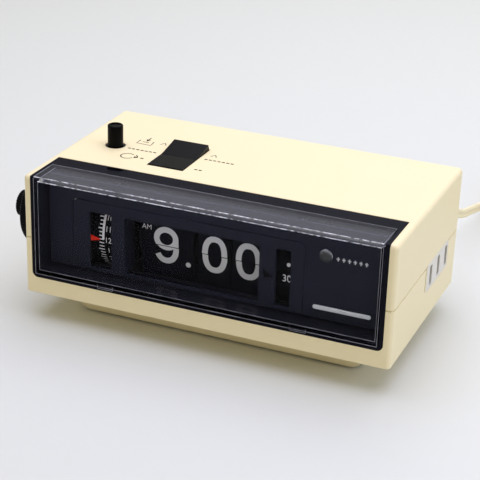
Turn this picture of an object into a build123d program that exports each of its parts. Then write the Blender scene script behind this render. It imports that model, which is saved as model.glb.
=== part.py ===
from build123d import *
import math
import os

os.makedirs("parts", exist_ok=True)

# A mains flip-card alarm clock. Millimetres, +Z up. The row's origin is on the surface that the clock stands
# on, under the middle of its overall box. Everything below is laid out in case coordinates instead: X from
# the case's middle plane, Y back from the front of the case, Z up from the surface.
CASE_X, CASE_Y = 7.4, -55.75
FLOOR = Plane(origin=(CASE_X, CASE_Y, 0))
FRONT = Plane(origin=(CASE_X, CASE_Y, 0), x_dir=(1, 0, 0), z_dir=(0, -1, 0))
SIDE = Plane(origin=(CASE_X, CASE_Y, 0), x_dir=(0, 1, 0), z_dir=(1, 0, 0))

# Case.
HALF_W = 100.0
BASE_Z = 15.5  # underside of the case box, on top of the plinth
SEAM_Z = 46.8
TOP_Z = 80.6
DEPTH_TOP = 114.0
DEPTH_BASE = 112.0
WALL = 2.4
EDGE_R = 2.4
SCREW_SPOTS = [(-92.5, 52), (92.5, 52), (-92.5, 98), (92.5, 96)]

# Plinth: half widths, then front and back edges, at its foot and at its top.
PLINTH_FOOT = (78.0, 20.0, 92.0)
PLINTH_TOP = (87.0, 11.0, 101.0)
PLINTH_Z = 1.2
PLATE_Z, PLATE_T = 2.0, 1.5
FOOT_R = 6.0
FOOT_SPOTS = [(-64, 31), (64, 31), (-64, 81), (64, 81)]

# Front: black bezel, clear lens, face panel and the mask of the clock module.
BEZEL_HALF_W, BEZEL_BASE_Z, BEZEL_BACK_Y = 95.8, 24.35, 29.85
BEZEL_R = 3.0
LENS_HALF_W, LENS_BASE_Z, LENS_TOP_Z = 93.5, 26.8, 81.0
LENS_FRONT_Y, LENS_BACK_Y = -1.5, 19.0
LENS_SIDE, LENS_CAP, LENS_FACE = 1.75, 2.0, 2.0
LENS_ROOF = 2.9
TAB_X, TAB_W = 52.7, 8.0
PANEL_Y, PANEL_T = 12.0, 1.5
PANEL_HALF_W, PANEL_BASE_Z, PANEL_TOP_Z = 91.4, 29.0, 77.8
MASK_X0, MASK_X1, MASK_TOP_Z, MASK_GAP = -77.6, 49.9, 67.5, 0.35
WINDOW_Z0, WINDOW_Z1 = 30.4, 61.8
WINDOWS = [(-68.4, -55.7), (-48.3, 26.3), (34.9, 43.0)]
BAFFLES = [(-73.4, 21.0), (-50.6, 27.0), (29.5, 33.0)]
LAMP_X, LAMP_Z, LAMP_R = 60.9, 63.1, 3.3
BADGE_X, BADGE_Z, BADGE_W, BADGE_H = 70.5, 35.0, 30.0, 2.2

# Movement: one main axis for every drum. The leaf pins run in a ring of radius PIN_R about it.
SPLIT_Z = 44.7
LEAF_Y = 24.8
PIN_R = 13.0
AXIS_Z = 47.3
AXIS_Y = LEAF_Y + math.sqrt(PIN_R**2 - (AXIS_Z - SPLIT_Z) ** 2)
AXIS = (AXIS_Y, AXIS_Z)
SHAFT_R, FIT = 1.5, 0.05
TUBE_R = 3.1
LEAF_H, LEAF_T, LEAF_GAP = 14.3, 0.4, 0.15
LEAF_PIN_R = 0.45
LEAF_PIN_L = 0.4
FLANGE_R, FLANGE_T, GROOVE_D = 14.2, 0.55, 0.3
BARREL_R = 6.0
BAND_R = 23.2  # printed bands of the alarm and seconds drums
BAND_T = 1.2
FRAME_X0, FRAME_X1, FRAME_T = -75.5, 47.0, 1.5

# Knob axis and gears.
MODULE = 0.6
TIME_TEETH, ALARM_TEETH, ALARM_PINION = 26, 34, 18
SECONDS_TEETH, MOTOR_TEETH = 60, 12
KNOB_ANGLE = math.radians(180 - 24.4)
KNOB_DIST = MODULE * TIME_TEETH
KNOB = (AXIS_Y + KNOB_DIST * math.cos(KNOB_ANGLE), AXIS_Z + KNOB_DIST * math.sin(KNOB_ANGLE))
MOTOR_ANGLE = math.radians(-12)
MOTOR_DIST = MODULE * (SECONDS_TEETH + MOTOR_TEETH) / 2
MOTOR = (AXIS_Y + MOTOR_DIST * math.cos(MOTOR_ANGLE), AXIS_Z + MOTOR_DIST * math.sin(MOTOR_ANGLE))
WHEEL_R, SMALL_KNOB_R = 19.2, 7.0
KNOB_END_X = -114.8

# Top controls.
PLUNGER = (-77.8, 59.7)
PLUNGER_R, PLUNGER_TOP_Z = 4.2, 92.3
ROCKER_X0, ROCKER_X1 = -49.9, -29.9
PIVOT_Y, PIVOT_Z = 58.5, TOP_Z - 4.5
ROCKER_FRONT_R, ROCKER_BACK_R = 16.9, 17.9

# Mains lead.
CORD_D = 5.6
CORD_X, CORD_Z = 86.0, 41.0
RELIEF_Y0, RELIEF_Y1 = 108.6, 133.0


def level(z):
    """The horizontal plane at height z, in case coordinates."""
    return FLOOR.offset(z)


def facing(y):
    """The upright plane at depth y that faces the front."""
    return FRONT.offset(-y)


def across(x):
    """The upright plane at x, seen from the right."""
    return SIDE.offset(x)


def block(x, y, z, mode=Mode.ADD):
    """Adds a box from its (low, high) pairs to the part under way, or cuts it away."""
    with BuildSketch(level(z[0])) as outline:
        with Locations(((x[0] + x[1]) / 2, (y[0] + y[1]) / 2)):
            Rectangle(x[1] - x[0], y[1] - y[0])
    extrude(outline.sketch, amount=z[1] - z[0], mode=mode)


def disc(x0, x1, radius, axis=AXIS, bore=0.0, mode=Mode.ADD):
    """Adds or cuts a round disc, tube or shaft along X, about an axis given as (y, z)."""
    with BuildSketch(across(x0)) as outline:
        with Locations(axis):
            Circle(radius)
            if bore:
                Circle(bore, mode=Mode.SUBTRACT)
    extrude(outline.sketch, amount=x1 - x0, mode=mode)


def post(spot, z0, z1, radius, bore=0.0, mode=Mode.ADD):
    """Adds or cuts a round post along Z at (x, y)."""
    with BuildSketch(level(z0)) as outline:
        with Locations(spot):
            Circle(radius)
            if bore:
                Circle(bore, mode=Mode.SUBTRACT)
    extrude(outline.sketch, amount=z1 - z0, mode=mode)


def gear(x0, x1, teeth, axis, bore, first_tooth):
    """Adds a spur gear with straight-flanked teeth, one of them centred on the angle first_tooth."""
    pitch_r = MODULE * teeth / 2
    step = 2 * math.pi / teeth
    profile = [(pitch_r - 1.1 * MODULE, 0.29), (pitch_r, 0.21), (pitch_r + 0.8 * MODULE, 0.1)]
    corners = []
    for tooth in range(teeth):
        middle = first_tooth + tooth * step
        for radius, share in profile:
            angle = middle - share * step
            corners.append((radius * math.cos(angle), radius * math.sin(angle)))
        for radius, share in reversed(profile):
            angle = middle + share * step
            corners.append((radius * math.cos(angle), radius * math.sin(angle)))
    with BuildSketch(across(x0)) as outline:
        with Locations(axis):
            Polygon(*corners, align=None)
            Circle(bore, mode=Mode.SUBTRACT)
    extrude(outline.sketch, amount=x1 - x0)


# --- Case shells ----------------------------------------------------------------------------------

with BuildPart() as case_block:
    with BuildSketch(across(-HALF_W)):
        Polygon((0, BASE_Z), (DEPTH_BASE, BASE_Z), (DEPTH_TOP, TOP_Z), (0, TOP_Z), align=None)
    extrude(amount=2 * HALF_W)
    fillet(case_block.edges().filter_by(lambda e: e.center().Z > BASE_Z + 1), radius=EDGE_R)

with BuildPart() as plinth:
    for z, (half, front, back), corner in [(PLINTH_Z, PLINTH_FOOT, 5), (BASE_Z + 0.5, PLINTH_TOP, 5)]:
        with BuildSketch(level(z)):
            with Locations((0, (front + back) / 2)):
                RectangleRounded(2 * half, back - front, corner)
    loft()
    for z, (half, front, back), corner in [(PLINTH_Z, PLINTH_FOOT, 3), (BASE_Z, PLINTH_TOP, 3)]:
        with BuildSketch(level(z)):
            with Locations((0, (front + back) / 2)):
                RectangleRounded(2 * (half - WALL), back - front - 2 * WALL, corner)
    loft(mode=Mode.SUBTRACT)

with BuildPart() as case_inside:
    with BuildSketch(across(WALL - HALF_W)):
        Polygon(
            (WALL, BASE_Z + WALL),
            (DEPTH_BASE - WALL, BASE_Z + WALL),
            (DEPTH_TOP - WALL, TOP_Z - WALL),
            (WALL, TOP_Z - WALL),
            align=None,
        )
    extrude(amount=2 * (HALF_W - WALL))

with BuildPart() as front_opening:
    with BuildSketch(facing(-1)):
        with Locations((0, (BEZEL_BASE_Z + TOP_Z + 5) / 2)):
            Rectangle(2 * BEZEL_HALF_W + 0.4, TOP_Z + 5 - BEZEL_BASE_Z)
    extrude(amount=-(BEZEL_BACK_Y + 1.5))
    fillet(front_opening.edges().filter_by(Axis.Y).group_by(Axis.Z)[0], radius=BEZEL_R + 0.2)

seam_depth = DEPTH_BASE + (DEPTH_TOP - DEPTH_BASE) * (SEAM_Z - BASE_Z) / (TOP_Z - BASE_Z)


def seam_ring(outside, inside, z0, z1, mode=Mode.ADD):
    """Adds or cuts a ring that follows the case wall at the seam, between two depths into the wall."""
    with BuildSketch(level(z0)) as outline:
        with Locations((0, seam_depth / 2)):
            Rectangle(2 * (HALF_W - outside), seam_depth - 2 * outside)
            Rectangle(2 * (HALF_W - inside), seam_depth - 2 * inside, mode=Mode.SUBTRACT)
    extrude(outline.sketch, amount=z1 - z0, mode=mode)


VENT_Y0, VENT_Y1, VENT_Z0 = 57.0, 95.0, 31.6
VENT_SLOTS = [63.9, 77.6, 91.3]
with BuildPart() as lower_case:
    add(case_block.part)
    split(bisect_by=level(SEAM_Z), keep=Keep.BOTTOM)
    add(case_inside.part, mode=Mode.SUBTRACT)
    add(plinth.part)
    seam_ring(1.3, WALL, SEAM_Z - 1, SEAM_Z + 1.5)
    seam_ring(-1.0, 0.6, SEAM_Z - 0.7, SEAM_Z + 1, mode=Mode.SUBTRACT)
    for spot in SCREW_SPOTS:
        post(spot, BASE_Z, 23.8, 4.6)
        post(spot, BASE_Z - 1, 18.5, 3.4, mode=Mode.SUBTRACT)
        post(spot, 18, 24, 1.7, mode=Mode.SUBTRACT)
    for spot in FOOT_SPOTS:
        post(spot, PLATE_Z + PLATE_T, BASE_Z + 0.5, 4)
    add(front_opening.part, mode=Mode.SUBTRACT)
    # the grille's opening in the right wall, and the plain slot in front of it
    block((97, 101), (VENT_Y0, VENT_Y1), (VENT_Z0, SEAM_Z + 2), mode=Mode.SUBTRACT)
    block((97, 101), (54.0, 55.2), (33.0, SEAM_Z + 2), mode=Mode.SUBTRACT)
    # notch for the strain relief, closed by the upper shell
    block((CORD_X - 4.5, CORD_X + 4.5), (104, 116), (CORD_Z - 4.6, SEAM_Z + 2), mode=Mode.SUBTRACT)
    # motor vents in the rear wall
    for k in range(6):
        x = 30 + 7 * k
        block((x, x + 2.5), (102, 116), (25, 42), mode=Mode.SUBTRACT)
lower_case.part.label = "lower_case"
export_step(lower_case.part, "parts/lower_case.step")

with BuildPart() as upper_case:
    add(case_block.part)
    split(bisect_by=level(SEAM_Z), keep=Keep.TOP)
    add(case_inside.part, mode=Mode.SUBTRACT)
    seam_ring(1.15, WALL + 1, SEAM_Z - 1, SEAM_Z + 1.65, mode=Mode.SUBTRACT)
    for spot in SCREW_SPOTS:
        post(spot, 24.1, TOP_Z - WALL + 0.5, 3.5)
        post(spot, 23, 36, 1.5, mode=Mode.SUBTRACT)
    for x0 in (ROCKER_X0 - 2.7, ROCKER_X1 + 0.7):
        block((x0, x0 + 2.0), (PIVOT_Y - 4, PIVOT_Y + 4), (PIVOT_Z - 3.5, TOP_Z - WALL + 0.5))
        disc(x0 - 1, x0 + 3, 1.3, (PIVOT_Y, PIVOT_Z), mode=Mode.SUBTRACT)
    add(front_opening.part, mode=Mode.SUBTRACT)
    block((ROCKER_X0 - 0.4, ROCKER_X1 + 0.4), (PIVOT_Y - 17.3, PIVOT_Y + 18.3), (70, 85), mode=Mode.SUBTRACT)
    post(PLUNGER, TOP_Z - 5, TOP_Z + 1, 5.5, mode=Mode.SUBTRACT)
    disc(-102, -96, TUBE_R + 0.2, KNOB, mode=Mode.SUBTRACT)
upper_case.part.label = "upper_case"
export_step(upper_case.part, "parts/upper_case.step")

with BuildPart() as base_plate:
    with BuildSketch(level(PLATE_Z)):
        half, front, back = PLINTH_FOOT
        with Locations((0, (front + back) / 2)):
            RectangleRounded(2 * (half - WALL - 0.3), back - front - 2 * WALL - 0.6, 2.5)
    extrude(amount=PLATE_T)
base_plate.part.label = "base_plate"
export_step(base_plate.part, "parts/base_plate.step")

with BuildPart() as rubber_feet:
    with BuildSketch(level(0)):
        with Locations(*FOOT_SPOTS):
            Circle(FOOT_R)
    extrude(amount=PLATE_Z)
    chamfer(rubber_feet.edges().group_by(Axis.Z)[0], length=0.4)
rubber_feet.part.label = "rubber_feet"
export_step(rubber_feet.part, "parts/rubber_feet.step")

with BuildPart() as case_screws:
    for spot in SCREW_SPOTS:
        post(spot, 18.5, 34, 1.5)
        post(spot, 16.4, 18.5, 3.0)
        x, y = spot
        block((x - 2.2, x + 2.2), (y - 0.4, y + 0.4), (16, 17.3), mode=Mode.SUBTRACT)
case_screws.part.label = "case_screws"
export_step(case_screws.part, "parts/case_screws.step")

with BuildPart() as side_grille:
    block((98.0, HALF_W), (VENT_Y0 + 0.15, VENT_Y1 - 0.15), (VENT_Z0 + 0.15, SEAM_Z - 0.1))
    for y in VENT_SLOTS:
        with BuildSketch(across(97)):
            with Locations((y, 38.9)):
                RectangleRounded(4.4, 11.2, 1)
        extrude(amount=4, mode=Mode.SUBTRACT)
side_grille.part.label = "side_grille"
export_step(side_grille.part, "parts/side_grille.step")

# --- Front ----------------------------------------------------------------------------------------

with BuildPart() as front_bezel:
    with BuildSketch(facing(0)):
        with Locations((0, (BEZEL_BASE_Z + TOP_Z) / 2)):
            Rectangle(2 * BEZEL_HALF_W, TOP_Z - BEZEL_BASE_Z)
    extrude(amount=-BEZEL_BACK_Y)
    fillet(front_bezel.edges().filter_by(Axis.Y).group_by(Axis.Z)[0], radius=BEZEL_R)
    block((-93.8, 93.8), (-1, LENS_BACK_Y), (26.5, TOP_Z + 1), mode=Mode.SUBTRACT)
    block((-88, 88), (15, 31), (28, TOP_Z - 2.6), mode=Mode.SUBTRACT)
    for x in (-TAB_X, TAB_X):
        block((x - TAB_W / 2 - 0.4, x + TAB_W / 2 + 0.4), (-1, 1.6), (25.6, 27), mode=Mode.SUBTRACT)
    # finger notch in the top, just short of the rear edge
    with BuildSketch(level(TOP_Z - 1.2)):
        with Locations((-61.8, BEZEL_BACK_Y - 0.6)):
            Circle(4.7)
            Rectangle(10, 5, align=(Align.CENTER, Align.MIN), mode=Mode.SUBTRACT)
    extrude(amount=2, mode=Mode.SUBTRACT)
    # room for the drums and for the time wheel's tube
    block((-78, 50), (23.5, 31), (23, 31), mode=Mode.SUBTRACT)
    disc(-97, -87, TUBE_R + 0.3, KNOB, mode=Mode.SUBTRACT)
front_bezel.part.label = "front_bezel"
export_step(front_bezel.part, "parts/front_bezel.step")

with BuildPart() as lens:
    block((-LENS_HALF_W, LENS_HALF_W), (LENS_FRONT_Y, LENS_BACK_Y), (LENS_BASE_Z, LENS_TOP_Z))
    fillet(lens.edges().group_by(Axis.Y)[0], radius=1.2)
    inside_x = (LENS_SIDE - LENS_HALF_W, LENS_HALF_W - LENS_SIDE)
    inside_y = (LENS_FRONT_Y + LENS_FACE, LENS_BACK_Y + 1)
    block(inside_x, inside_y, (LENS_BASE_Z + LENS_CAP, LENS_TOP_Z - LENS_ROOF), mode=Mode.SUBTRACT)
    for x in (-TAB_X, TAB_X):
        block((x - TAB_W / 2, x + TAB_W / 2), (0, 1.2), (25.9, LENS_BASE_Z + 0.5))
lens.part.label = "lens"
export_step(lens.part, "parts/lens.step")

with BuildPart() as face_panel:
    with BuildSketch(facing(PANEL_Y)):
        with Locations((0, (PANEL_BASE_Z + PANEL_TOP_Z) / 2)):
            Rectangle(2 * PANEL_HALF_W, PANEL_TOP_Z - PANEL_BASE_Z)
        gap_w, gap_h = MASK_X1 - MASK_X0 + 2 * MASK_GAP, MASK_TOP_Z + MASK_GAP - 20
        with Locations(((MASK_X0 + MASK_X1) / 2, 20 + gap_h / 2)):
            RectangleRounded(gap_w, gap_h, 3.3, mode=Mode.SUBTRACT)
        with Locations((LAMP_X, LAMP_Z)):
            Circle(LAMP_R + 0.1, mode=Mode.SUBTRACT)
    extrude(amount=-PANEL_T)
    for x in (-89.8, 89.8):
        for z in (34, 73):
            block((x - 1.4, x + 1.4), (PANEL_Y + PANEL_T, LENS_BACK_Y), (z - 3, z + 3))
face_panel.part.label = "face_panel"
export_step(face_panel.part, "parts/face_panel.step")

with BuildPart() as clock_mask:
    with BuildSketch(facing(PANEL_Y)):
        with Locations(((MASK_X0 + MASK_X1) / 2, (20 + MASK_TOP_Z) / 2)):
            RectangleRounded(MASK_X1 - MASK_X0, MASK_TOP_Z - 20, 3)
        with Locations(((MASK_X0 + MASK_X1) / 2, PANEL_BASE_Z - 10)):
            Rectangle(MASK_X1 - MASK_X0 + 1, 20, mode=Mode.SUBTRACT)
        for x0, x1 in WINDOWS:
            with Locations(((x0 + x1) / 2, (WINDOW_Z0 + WINDOW_Z1) / 2)):
                RectangleRounded(x1 - x0, WINDOW_Z1 - WINDOW_Z0, 0.8, mode=Mode.SUBTRACT)
    extrude(amount=-PANEL_T)
    # light baffles beside the drums
    for x, depth in BAFFLES:
        block((x, x + 0.8), (PANEL_Y + PANEL_T, depth), (PANEL_BASE_Z + 0.3, 66))
clock_mask.part.label = "clock_mask"
export_step(clock_mask.part, "parts/clock_mask.step")

with BuildPart() as alarm_pointer:
    with BuildSketch(facing(PANEL_Y + PANEL_T)):
        with Locations((-70.6, 46.5)):
            Rectangle(3.2, 5)
        Polygon((-69.1, 48.2), (-63.3, 46.8), (-63.3, 46.2), (-69.1, 44.8), align=None)
    extrude(amount=-0.5)
alarm_pointer.part.label = "alarm_pointer"
export_step(alarm_pointer.part, "parts/alarm_pointer.step")

with BuildPart() as seconds_index:
    with BuildSketch(facing(PANEL_Y)):
        Polygon((28.6, 49.4), (33.4, 46.2), (29.4, 45.2), align=None)
    extrude(amount=0.6)
seconds_index.part.label = "seconds_index"
export_step(seconds_index.part, "parts/seconds_index.step")

with BuildPart() as set_lamp_lens:
    with BuildSketch(facing(PANEL_Y)):
        with Locations((LAMP_X, LAMP_Z)):
            Circle(LAMP_R)
    extrude(amount=-PANEL_T)
    with BuildSketch(facing(PANEL_Y)):
        with Locations((LAMP_X, LAMP_Z)):
            Circle(LAMP_R)
    extrude(amount=1.4)
    fillet(set_lamp_lens.edges().group_by(Axis.Y)[0], radius=1.2)
set_lamp_lens.part.label = "set_lamp_lens"
export_step(set_lamp_lens.part, "parts/set_lamp_lens.step")

with BuildPart() as lamp_holder:
    with BuildSketch(facing(PANEL_Y + PANEL_T)):
        with Locations((LAMP_X, LAMP_Z)):
            Circle(4.6)
            Circle(2.6, mode=Mode.SUBTRACT)
    extrude(amount=-11)
lamp_holder.part.label = "lamp_holder"
export_step(lamp_holder.part, "parts/lamp_holder.step")

with BuildPart() as set_lamp_bulb:
    with BuildSketch(facing(16)):
        with Locations((LAMP_X, LAMP_Z)):
            Circle(2.5)
    extrude(amount=-12)
    fillet(set_lamp_bulb.edges().group_by(Axis.Y)[0], radius=2.2)
set_lamp_bulb.part.label = "set_lamp_bulb"
export_step(set_lamp_bulb.part, "parts/set_lamp_bulb.step")

with BuildPart() as badge:
    with BuildSketch(facing(PANEL_Y)):
        with Locations((BADGE_X, BADGE_Z)):
            RectangleRounded(BADGE_W, BADGE_H, 1.0)
    extrude(amount=0.4)
badge.part.label = "badge"
export_step(badge.part, "parts/badge.step")

# --- Movement frame -------------------------------------------------------------------------------

TIE_BARS = [(17, 72), (68, 46), (68, 22)]
for name, x0, shoulder, flange_x in [
    ("left_side_plate", FRAME_X0, 52, (FRAME_X0 + FRAME_T, FRAME_X0 + 10)),
    ("right_side_plate", FRAME_X1, 63, (FRAME_X1 - 8.5, FRAME_X1)),
]:
    with BuildPart() as side_plate:
        with BuildSketch(across(x0)):
            Polygon(
                (PANEL_Y + PANEL_T, 29.2),
                (31, 29.2),
                (31, BASE_Z + WALL),
                (72, BASE_Z + WALL),
                (72, shoulder),
                (50, shoulder),
                (50, 76),
                (PANEL_Y + PANEL_T, 76),
                align=None,
            )
            with Locations(AXIS):
                Circle(TUBE_R + FIT, mode=Mode.SUBTRACT)
            with Locations(*TIE_BARS):
                Circle(1.5, mode=Mode.SUBTRACT)
            if name == "left_side_plate":
                with Locations(KNOB):
                    Circle(SHAFT_R + FIT, mode=Mode.SUBTRACT)
        extrude(amount=FRAME_T)
        fillet(side_plate.edges().filter_by(Axis.X).group_by(Axis.Z)[-1], radius=3)
        # foot, turned inwards
        block(flange_x, (36, 64), (BASE_Z + WALL, BASE_Z + WALL + FRAME_T))
    side_plate.part.label = name
    export_step(side_plate.part, f"parts/{name}.step")

with BuildPart() as tie_bars:
    for bar in TIE_BARS:
        disc(FRAME_X0 - 1.5, FRAME_X1 + FRAME_T + 1.5, 1.5, bar)
tie_bars.part.label = "tie_bars"
export_step(tie_bars.part, "parts/tie_bars.step")

# --- Drums on the main shaft ----------------------------------------------------------------------

LEAF_SETS = {"hour": (-44.7, -15.1, 24), "tens": (-12.2, 5.0, 12), "units": (6.7, 23.9, 10)}


def leaf_pins(x0, x1, at):
    """Adds the two end pins of a flap."""
    disc(x0 - LEAF_PIN_L, x0, LEAF_PIN_R, at)
    disc(x1, x1 + LEAF_PIN_L, LEAF_PIN_R, at)


def leaf(x0, x1, y, z, angle):
    """Adds one flap: its pins at (y, z), its plate running off at the angle from the front, upwards."""
    along = Vector(-math.cos(angle), math.sin(angle), 0)
    thick = Vector(along.Y, -along.X, 0) * (LEAF_T / 2)
    near = Vector(y, z, 0) - along * 0.45
    far = Vector(y, z, 0) + along * LEAF_H
    corners = [near + thick, far + thick, far - thick, near - thick]
    with BuildSketch(across(x0)) as outline:
        Polygon(*[(c.X, c.Y) for c in corners], align=None)
    extrude(outline.sketch, amount=x1 - x0)
    leaf_pins(x0, x1, (y, z))


def standing_leaf(x0, x1, upwards):
    """Adds the flap behind the front one: the next upper half when upwards, else the lower half on show."""
    y = LEAF_Y + LEAF_T + 0.1
    reach = math.sqrt(PIN_R**2 - (AXIS_Y - y) ** 2)
    low, high = (SPLIT_Z + LEAF_GAP, SPLIT_Z + LEAF_H) if upwards else (SPLIT_Z - LEAF_H, SPLIT_Z - LEAF_GAP)
    pin_z = AXIS_Z + reach if upwards else AXIS_Z - reach
    block((x0, x1), (y - LEAF_T / 2, y + LEAF_T / 2), (low, high))
    leaf_pins(x0, x1, (y, pin_z))


for name, (x0, x1, count) in LEAF_SETS.items():
    with BuildPart() as drum:
        left, right = x0 - LEAF_GAP, x1 + LEAF_GAP
        for side_x, groove_x in [(left - FLANGE_T, left - GROOVE_D), (right, right)]:
            disc(side_x, side_x + FLANGE_T, FLANGE_R, AXIS, SHAFT_R + FIT)
            groove_r = LEAF_PIN_R + FIT
            disc(groove_x, groove_x + GROOVE_D, PIN_R + groove_r, AXIS, PIN_R - groove_r, mode=Mode.SUBTRACT)
        disc(x0 - LEAF_GAP, x1 + LEAF_GAP, BARREL_R, AXIS, SHAFT_R + FIT)
        if name == "units":
            disc(x1 + LEAF_GAP, x1 + 4, 4, AXIS, SHAFT_R)
            disc(x0 + 2, x1 - 2, 3, AXIS, SHAFT_R)
    drum.part.label = f"{name}_drum"
    export_step(drum.part, f"parts/{name}_drum.step")

    with BuildPart() as leaf_pack:
        standing_leaf(x0, x1, True)
        standing_leaf(x0, x1, False)
        step = math.radians(288 / (count - 4))
        for k in range(count - 3):
            at = math.radians(36) + k * step
            hang = min(at + math.radians(54), math.radians(270))
            leaf(x0, x1, AXIS_Y - PIN_R * math.cos(at), AXIS_Z + PIN_R * math.sin(at), hang)
    leaf_pack.part.label = f"{name}_leaf_pack"
    export_step(leaf_pack.part, f"parts/{name}_leaf_pack.step")

    with BuildPart() as front_leaf:
        y_span = (LEAF_Y - LEAF_T / 2, LEAF_Y + LEAF_T / 2)
        block((x0, x1), y_span, (SPLIT_Z + LEAF_GAP, SPLIT_Z + LEAF_H))
        for ear_x in (x0, x1 - 1.2):
            block((ear_x, ear_x + 1.2), y_span, (SPLIT_Z - LEAF_T / 2, SPLIT_Z + LEAF_GAP))
        disc(x0 - LEAF_PIN_L, x0 + 0.6, LEAF_T / 2, (LEAF_Y, SPLIT_Z))
        disc(x1 - 0.6, x1 + LEAF_PIN_L, LEAF_T / 2, (LEAF_Y, SPLIT_Z))
    front_leaf.part.label = f"{name}_front_leaf"
    export_step(front_leaf.part, f"parts/{name}_front_leaf.step")

with BuildPart() as leaf_catch:
    for x0, x1, _ in LEAF_SETS.values():
        middle = (x0 + x1) / 2
        disc(middle - 2, middle + 2, 2.3, TIE_BARS[0], 1.5)
        with BuildSketch(across(middle - 2)):
            Polygon((17.6, 70.0), (18.2, 70.2), (24.8, 59.7), (24.3, 59.4), align=None)
        extrude(amount=4)
leaf_catch.part.label = "leaf_catch"
export_step(leaf_catch.part, "parts/leaf_catch.step")

with BuildPart() as main_shaft:
    disc(-89.5, 55, SHAFT_R)
main_shaft.part.label = "main_shaft"
export_step(main_shaft.part, "parts/main_shaft.step")

for name, x0, x1, web_x, tube in [
    ("alarm_drum", -70.5, -54.5, -70.5, (-82.0, -56.0)),
    ("seconds_drum", 31.5, 44.5, 43.3, (33.0, 53.2)),
]:
    with BuildPart() as band_drum:
        disc(x0, x1, BAND_R, AXIS, BAND_R - BAND_T)
        disc(web_x, web_x + BAND_T, BAND_R - 0.5, AXIS, SHAFT_R + FIT)
        disc(tube[0], tube[1], TUBE_R, AXIS, SHAFT_R + FIT)
        with BuildSketch(across(web_x - 1)):
            with Locations(AXIS):
                with PolarLocations(13.5, 6):
                    Circle(4)
        extrude(amount=3, mode=Mode.SUBTRACT)
    band_drum.part.label = name
    export_step(band_drum.part, f"parts/{name}.step")

# --- Knobs and gears ------------------------------------------------------------------------------

# Each pair meshes on the line between its axes: a tooth of the first gear meets a gap of the second.
TIME_X, ALARM_X, SECONDS_X = (-87.5, -84.5), (-81.5, -78.5), (50.0, 52.5)
with BuildPart() as time_gear:
    gear(*TIME_X, TIME_TEETH, AXIS, SHAFT_R, KNOB_ANGLE)
time_gear.part.label = "time_gear"
export_step(time_gear.part, "parts/time_gear.step")

with BuildPart() as time_knob:
    disc(-105.5, -100.5, WHEEL_R, KNOB, SHAFT_R + FIT)
    fillet(time_knob.edges().filter_by(GeomType.CIRCLE).sort_by(SortBy.RADIUS)[-2:], radius=1.0)
    disc(-100.6, TIME_X[1], TUBE_R, KNOB, SHAFT_R + FIT)
time_knob.part.label = "time_knob"
export_step(time_knob.part, "parts/time_knob.step")

with BuildPart() as time_pinion:
    half_tooth = math.pi / TIME_TEETH
    gear(*TIME_X, TIME_TEETH, KNOB, TUBE_R, KNOB_ANGLE + math.pi + half_tooth)
time_pinion.part.label = "time_pinion"
export_step(time_pinion.part, "parts/time_pinion.step")

with BuildPart() as alarm_knob:
    disc(KNOB_END_X, -106.3, SMALL_KNOB_R, KNOB)
    with BuildSketch(across(KNOB_END_X - 1)):
        with Locations(KNOB):
            with PolarLocations(SMALL_KNOB_R + 0.25, 30):
                Circle(0.55)
    extrude(amount=8, mode=Mode.SUBTRACT)
alarm_knob.part.label = "alarm_knob"
export_step(alarm_knob.part, "parts/alarm_knob.step")

with BuildPart() as alarm_knob_shaft:
    disc(-106.3, -73.0, SHAFT_R, KNOB)
    half_tooth = math.pi / ALARM_PINION
    gear(*ALARM_X, ALARM_PINION, KNOB, SHAFT_R - 0.1, KNOB_ANGLE + math.pi + half_tooth)
alarm_knob_shaft.part.label = "alarm_knob_shaft"
export_step(alarm_knob_shaft.part, "parts/alarm_knob_shaft.step")

with BuildPart() as alarm_gear:
    gear(*ALARM_X, ALARM_TEETH, AXIS, TUBE_R, KNOB_ANGLE)
alarm_gear.part.label = "alarm_gear"
export_step(alarm_gear.part, "parts/alarm_gear.step")

with BuildPart() as seconds_gear:
    gear(*SECONDS_X, SECONDS_TEETH, AXIS, TUBE_R, MOTOR_ANGLE)
seconds_gear.part.label = "seconds_gear"
export_step(seconds_gear.part, "parts/seconds_gear.step")

with BuildPart() as motor_pinion:
    half_tooth = math.pi / MOTOR_TEETH
    gear(*SECONDS_X, MOTOR_TEETH, MOTOR, 1.0, MOTOR_ANGLE + math.pi + half_tooth)
motor_pinion.part.label = "motor_pinion"
export_step(motor_pinion.part, "parts/motor_pinion.step")

# --- Motor ----------------------------------------------------------------------------------------

MOTOR_POSTS = [(62.5, 58), (62.5, 27.6)]
with BuildPart() as motor_cover:
    disc(55.5, 57.0, 21, MOTOR, 1.05)
    for spot in MOTOR_POSTS:
        disc(FRAME_X1 + FRAME_T, 55.6, 2.2, spot)
motor_cover.part.label = "motor_cover"
export_step(motor_cover.part, "parts/motor_cover.step")

with BuildPart() as motor_can:
    disc(57.0, 75.0, 21, MOTOR)
    disc(57.0, 73.5, 19.8, MOTOR, mode=Mode.SUBTRACT)
    fillet(motor_can.edges().group_by(Axis.X)[-1], radius=1.5)
motor_can.part.label = "motor_can"
export_step(motor_can.part, "parts/motor_can.step")

with BuildPart() as motor_coil:
    disc(58.0, 72.5, 19.0, MOTOR, 11.0)
motor_coil.part.label = "motor_coil"
export_step(motor_coil.part, "parts/motor_coil.step")

with BuildPart() as motor_rotor:
    disc(59.0, 72.0, 10.0, MOTOR)
    disc(49.6, 59.5, 1.0, MOTOR)
motor_rotor.part.label = "motor_rotor"
export_step(motor_rotor.part, "parts/motor_rotor.step")

# --- Top controls ---------------------------------------------------------------------------------

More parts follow.
